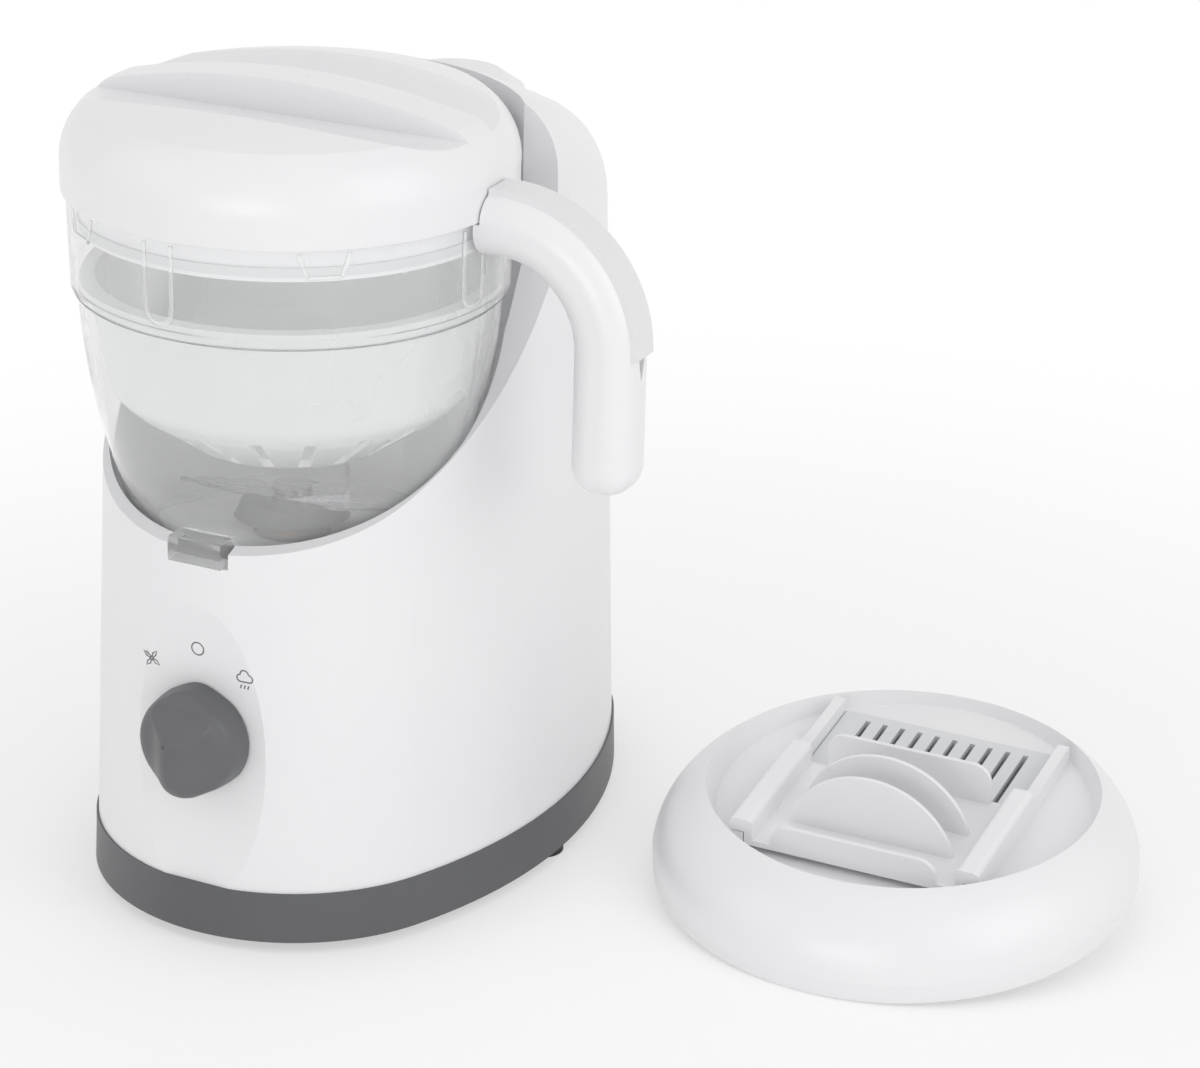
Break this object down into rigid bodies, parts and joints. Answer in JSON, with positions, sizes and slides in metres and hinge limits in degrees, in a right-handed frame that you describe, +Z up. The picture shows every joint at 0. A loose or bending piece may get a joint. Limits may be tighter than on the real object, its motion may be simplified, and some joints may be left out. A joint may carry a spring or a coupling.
{
  "type": "baby food maker",
  "caption": "Steam cooking and blending baby food maker with a clear jug in a white tower, a side handle, a domed lid, a turn knob and a separate grating lid with a sliding food holder.",
  "frame": {"origin": "on the table, under the centre of the casing plan, in the middle of the feet", "axes": "+Z up, -Y towards the front with the knob, +X towards the handle and the grating lid"},
  "size_m": [0.3614, 0.2541, 0.288],
  "materials": {
    "white_plastic": "satin white moulding",
    "handle_inlay": "gloss white inlay",
    "grey_plastic": "satin mid grey",
    "clear_plastic": "clear gloss",
    "frosted_plastic": "frosted, lets light through",
    "dark_plastic": "matt",
    "black_rubber": "matt",
    "soft_seal": "soft matt",
    "steel": "brushed",
    "bearing_bronze": "turned",
    "copper_winding": "enamelled winding",
    "boiler_metal": "cast",
    "board": "solder mask"
  },
  "bodies": {
    "base": {"main_housing": "white_plastic", "base_tray": "grey_plastic", "rubber_feet": "black_rubber", "base_screws": "steel", "chassis_plate": "dark_plastic", "motor_can": "steel", "motor_end_cap": "steel", "lower_bearing": "bearing_bronze", "upper_bearing": "bearing_bronze", "motor_stator": "copper_winding", "rotary_switch": "dark_plastic", "boiler_tank": "boiler_metal", "heating_element": "boiler_metal", "thermostat": "dark_plastic", "boiler_bracket": "steel", "steam_nozzle": "boiler_metal", "control_board": "board", "interlock_switch": "dark_plastic", "cord_inlet": "dark_plastic"},
    "rotor": {"motor_rotor": "steel", "lower_coupling": "dark_plastic"},
    "knob": {"control_knob": "grey_plastic", "knob_shaft": "steel"},
    "jug_set": {"jug": "clear_plastic", "jug_handle": "white_plastic", "handle_cover": "handle_inlay", "jug_bush": "bearing_bronze", "shaft_seal": "soft_seal"},
    "blade": {"upper_coupling": "dark_plastic", "blade_spindle": "steel", "blade_hub": "grey_plastic", "flat_blade": "steel", "upright_blade": "steel", "spindle_nut": "steel"},
    "basket": {"steam_basket": "frosted_plastic"},
    "lid_ring": {"lid_seal": "soft_seal"},
    "lid_cover": {"lid": "white_plastic"},
    "cap_ring": {"boiler_seal": "soft_seal"},
    "cap": {"boiler_cap": "white_plastic"},
    "grater": {"grater_dish": "white_plastic", "grater_plate": "frosted_plastic"},
    "holder": {"food_holder": "white_plastic"}
  },
  "joints": [
    {"name": "motor_spin", "type": "hinge", "parent": "base", "child": "rotor", "pos_m": [0, -0.051, 0.07], "axis": [0, 0, 1], "continuous": true},
    {"name": "knob_turn", "type": "hinge", "parent": "base", "child": "knob", "pos_m": [0, -0.113, 0.075], "axis": [0, 1, 0], "range_deg": [-45, 45]},
    {"name": "jug_lift", "type": "slide", "parent": "base", "child": "jug_set", "axis": [0, 0, 1], "range_m": [0, 0.16]},
    {"name": "blade_spin", "type": "hinge", "parent": "jug_set", "child": "blade", "pos_m": [0, -0.051, 0.13], "axis": [0, 0, 1], "continuous": true},
    {"name": "basket_lift", "type": "slide", "parent": "jug_set", "child": "basket", "axis": [0, 0, 1], "range_m": [0, 0.1]},
    {"name": "lid_lift", "type": "slide", "parent": "basket", "child": "lid_ring", "axis": [0, 0, 1], "range_m": [0, 0.08]},
    {"name": "lid_turn", "type": "hinge", "parent": "lid_ring", "child": "lid_cover", "pos_m": [0, -0.051, 0.25], "axis": [0, 0, 1], "range_deg": [0, 35]},
    {"name": "boiler_cap_lift", "type": "slide", "parent": "base", "child": "cap_ring", "axis": [0, 0, 1], "range_m": [0, 0.05]},
    {"name": "boiler_cap_turn", "type": "hinge", "parent": "cap_ring", "child": "cap", "pos_m": [0, 0.065, 0.25], "axis": [0, 0, 1], "range_deg": [0, 90]},
    {"name": "grater_lift", "type": "slide", "parent": "base", "child": "grater", "axis": [0, 0, 1], "range_m": [0, 0.1]},
    {"name": "holder_slide", "type": "slide", "parent": "grater", "child": "holder", "axis": [0, 0.9903, 0.1392], "range_m": [0, 0.036]}
  ],
  "couplings": [
    {"joint": "blade_spin", "follows": "motor_spin", "ratio": 1}
  ]
}
